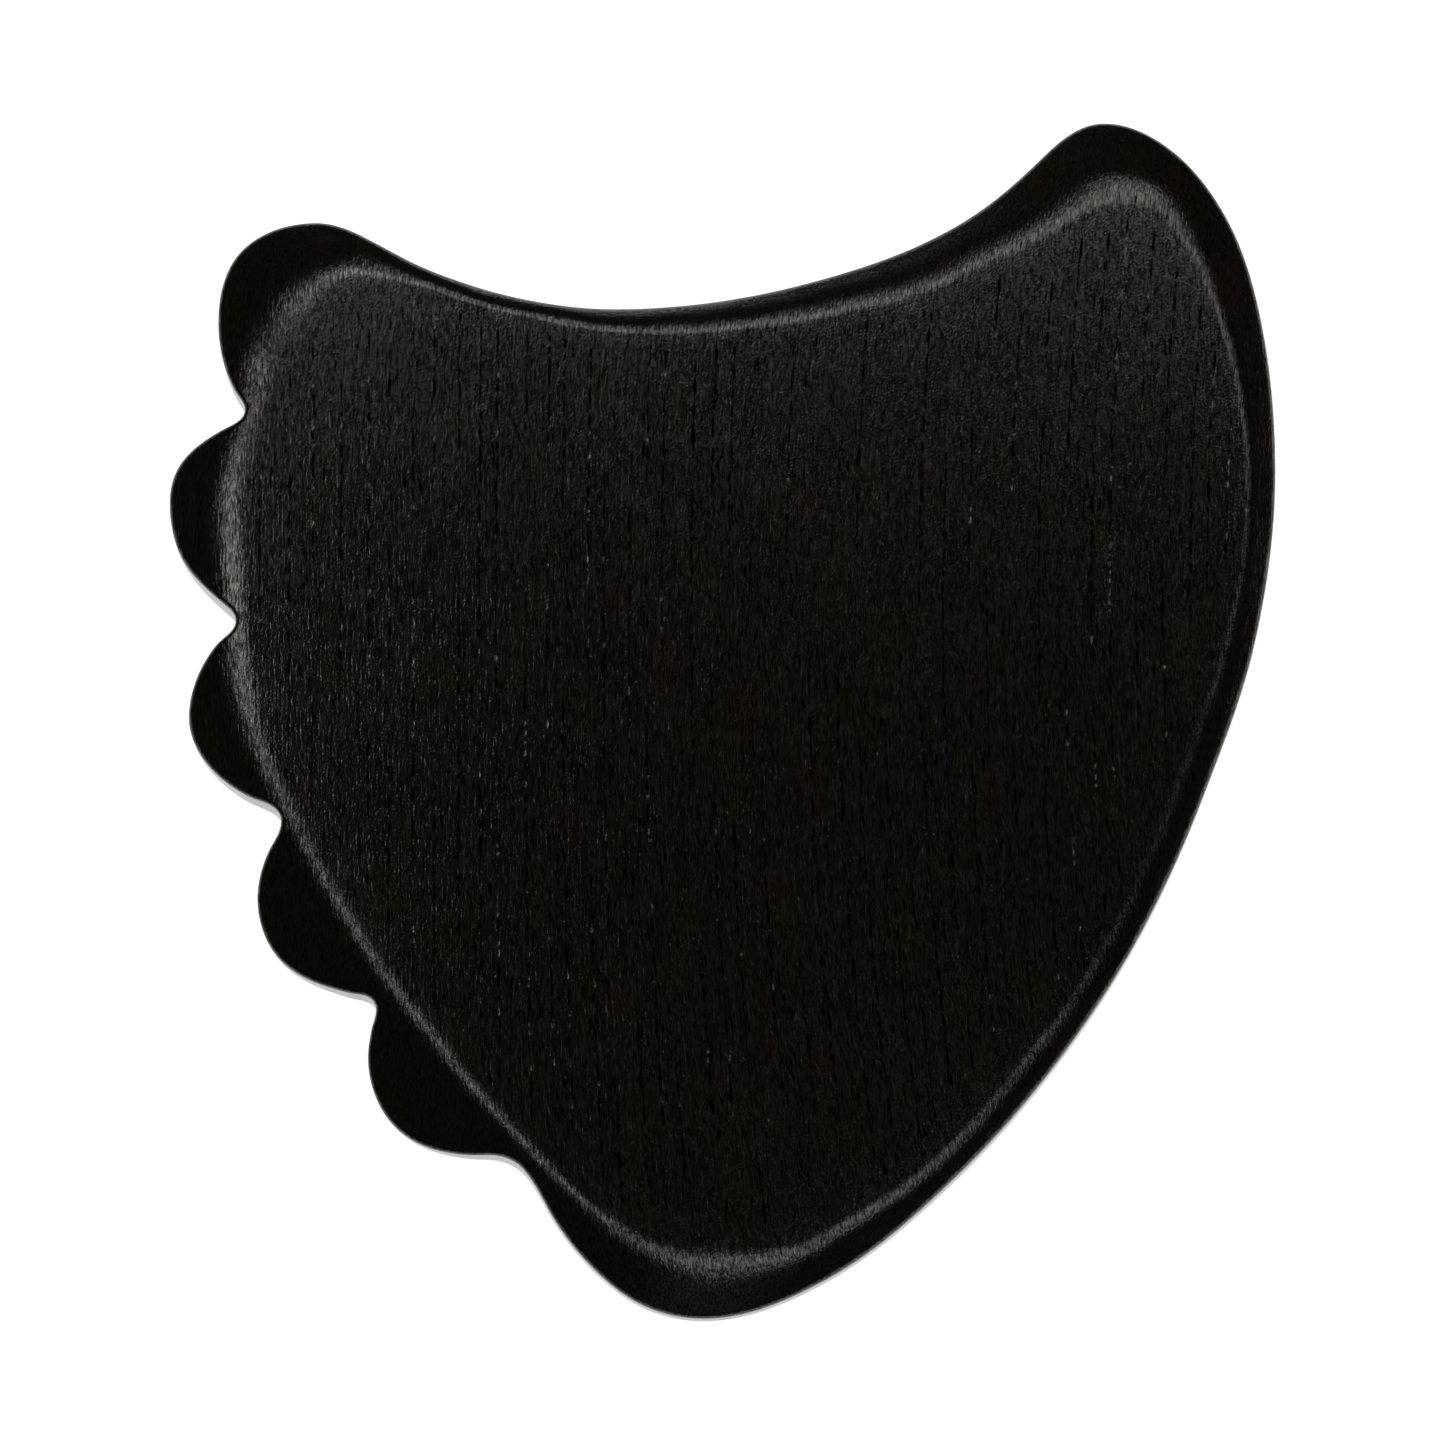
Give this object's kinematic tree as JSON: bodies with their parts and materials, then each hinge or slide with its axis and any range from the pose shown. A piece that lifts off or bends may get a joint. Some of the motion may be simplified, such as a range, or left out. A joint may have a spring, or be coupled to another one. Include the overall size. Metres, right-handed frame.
{
  "type": "guitar pick",
  "caption": "Shark-fin plectrum carved from a single piece of solid ebony, with a scalloped edge, a hollow top between two ears, a convex side and a bevelled rim.",
  "frame": {"origin": "middle of the footprint's bounding box, on the surface that the pick lies on", "axes": "+Z out of the front face, +Y from the rounded tip towards the ears, +X towards the convex side, away from the scalloped edge"},
  "size_m": [0.0294, 0.0318, 0.0026],
  "materials": {
    "ebony": "bare black ebony, fine-sanded to a low satin, with open vessel lines along the pick's length and a slightly shinier shoulder"
  },
  "bodies": {
    "root": {"pick_body": "ebony"}
  },
  "joints": []
}
